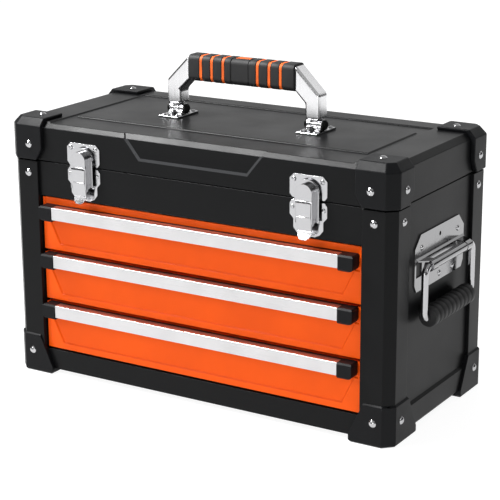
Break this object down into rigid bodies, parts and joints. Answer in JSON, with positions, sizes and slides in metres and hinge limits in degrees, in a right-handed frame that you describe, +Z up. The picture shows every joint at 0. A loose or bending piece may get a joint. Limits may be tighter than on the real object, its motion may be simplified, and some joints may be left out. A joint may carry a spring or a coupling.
{
  "type": "portable tool chest",
  "caption": "Portable tool chest with front drawers, hinged lid over a top compartment, draw latches, carry handle and end bail handles.",
  "frame": {"origin": "on the floor, at the middle of the outline seen from above", "axes": "+X to the right along the front, -Y out of the drawer fronts, +Z up"},
  "size_m": [0.547, 0.254, 0.3868],
  "materials": {
    "case_black": "satin powder coat",
    "corner_plastic": "fine texture",
    "drawer_orange": "satin powder coat",
    "zinc_steel": "zinc plated",
    "chrome": "bright plated",
    "pull_aluminium": "satin anodised",
    "handle_silver": "silver lacquer",
    "bolt_black": "black oxide",
    "grip_rubber": "matt",
    "ring_orange": "matt"
  },
  "bodies": {
    "cabinet": {"wrapper": "case_black", "back_panel": "case_black", "front_frame": "case_black", "tray_floor": "case_black", "inner_wall_left": "zinc_steel", "inner_wall_right": "zinc_steel", "slide_rails_left": "zinc_steel", "slide_rails_right": "zinc_steel", "post_front_left": "case_black", "post_front_right": "case_black", "post_rear_left": "case_black", "post_rear_right": "case_black", "foot_front_left": "corner_plastic", "foot_front_right": "corner_plastic", "foot_rear_left": "corner_plastic", "foot_rear_right": "corner_plastic", "cabinet_rivets": "chrome", "latch_base_left": "chrome", "latch_base_right": "chrome", "end_plate_left": "chrome", "end_plate_right": "chrome", "hinge_leaf_lower": "zinc_steel"},
    "lid": {"lid_shell": "case_black", "lid_cap_front_left": "corner_plastic", "lid_cap_front_right": "corner_plastic", "lid_cap_rear_left": "corner_plastic", "lid_cap_rear_right": "corner_plastic", "lid_rivets": "chrome", "strike_left": "chrome", "strike_right": "chrome", "hinge_leaf_upper": "zinc_steel", "handle_bracket_left": "chrome", "handle_bracket_right": "chrome", "handle_pivots": "bolt_black"},
    "carry_handle": {"handle_frame": "handle_silver", "handle_grip": "grip_rubber", "grip_rings": "ring_orange"},
    "end_handle_left": {"end_bail_left": "chrome", "end_grip_left": "grip_rubber"},
    "end_handle_right": {"end_bail_right": "chrome", "end_grip_right": "grip_rubber"},
    "lever_left": {"latch_lever_left": "chrome"},
    "lever_right": {"latch_lever_right": "chrome"},
    "hook_left": {"latch_hook_left": "chrome"},
    "hook_right": {"latch_hook_right": "chrome"},
    "drawer_1": {"drawer_front_1": "drawer_orange", "drawer_tray_1": "zinc_steel", "drawer_pull_1": "pull_aluminium", "pull_caps_1": "corner_plastic"},
    "cage_1": {"ball_cages_1": "zinc_steel"},
    "drawer_2": {"drawer_front_2": "drawer_orange", "drawer_tray_2": "zinc_steel", "drawer_pull_2": "pull_aluminium", "pull_caps_2": "corner_plastic"},
    "cage_2": {"ball_cages_2": "zinc_steel"},
    "drawer_3": {"drawer_front_3": "drawer_orange", "drawer_tray_3": "zinc_steel", "drawer_pull_3": "pull_aluminium", "pull_caps_3": "corner_plastic"},
    "cage_3": {"ball_cages_3": "zinc_steel"}
  },
  "joints": [
    {"name": "lid_hinge", "type": "hinge", "parent": "cabinet", "child": "lid", "pos_m": [0, 0.123, 0.2645], "axis": [-1, 0, 0], "range_deg": [0, 95]},
    {"name": "carry_handle_pivot", "type": "hinge", "parent": "lid", "child": "carry_handle", "pos_m": [0, 0.001, 0.3195], "axis": [1, 0, 0], "range_deg": [-60, 60]},
    {"name": "end_handle_left_pivot", "type": "hinge", "parent": "cabinet", "child": "end_handle_left", "pos_m": [-0.262, 0.001, 0.191], "axis": [0, 1, 0], "range_deg": [0, 90]},
    {"name": "end_handle_right_pivot", "type": "hinge", "parent": "cabinet", "child": "end_handle_right", "pos_m": [0.262, 0.001, 0.191], "axis": [0, -1, 0], "range_deg": [0, 90]},
    {"name": "lever_left_pivot", "type": "hinge", "parent": "cabinet", "child": "lever_left", "pos_m": [-0.149, -0.1225, 0.2585], "axis": [-1, 0, 0], "range_deg": [0, 120]},
    {"name": "hook_left_pivot", "type": "hinge", "parent": "lever_left", "child": "hook_left", "pos_m": [-0.149, -0.122, 0.2445], "axis": [-1, 0, 0], "range_deg": [-102, 0]},
    {"name": "lever_right_pivot", "type": "hinge", "parent": "cabinet", "child": "lever_right", "pos_m": [0.149, -0.1225, 0.2585], "axis": [-1, 0, 0], "range_deg": [0, 120]},
    {"name": "hook_right_pivot", "type": "hinge", "parent": "lever_right", "child": "hook_right", "pos_m": [0.149, -0.122, 0.2445], "axis": [-1, 0, 0], "range_deg": [-102, 0]},
    {"name": "drawer_1_slide", "type": "slide", "parent": "cabinet", "child": "drawer_1", "axis": [0, -1, 0], "range_m": [0, 0.145]},
    {"name": "cage_1_slide", "type": "slide", "parent": "cabinet", "child": "cage_1", "axis": [0, -1, 0], "range_m": [0, 0.0725]},
    {"name": "drawer_2_slide", "type": "slide", "parent": "cabinet", "child": "drawer_2", "axis": [0, -1, 0], "range_m": [0, 0.145]},
    {"name": "cage_2_slide", "type": "slide", "parent": "cabinet", "child": "cage_2", "axis": [0, -1, 0], "range_m": [0, 0.0725]},
    {"name": "drawer_3_slide", "type": "slide", "parent": "cabinet", "child": "drawer_3", "axis": [0, -1, 0], "range_m": [0, 0.145]},
    {"name": "cage_3_slide", "type": "slide", "parent": "cabinet", "child": "cage_3", "axis": [0, -1, 0], "range_m": [0, 0.0725]}
  ],
  "couplings": [
    {"joint": "hook_left_pivot", "follows": "lever_left_pivot", "ratio": -0.85},
    {"joint": "hook_right_pivot", "follows": "lever_right_pivot", "ratio": -0.85},
    {"joint": "cage_1_slide", "follows": "drawer_1_slide", "ratio": 0.5},
    {"joint": "cage_2_slide", "follows": "drawer_2_slide", "ratio": 0.5},
    {"joint": "cage_3_slide", "follows": "drawer_3_slide", "ratio": 0.5}
  ]
}
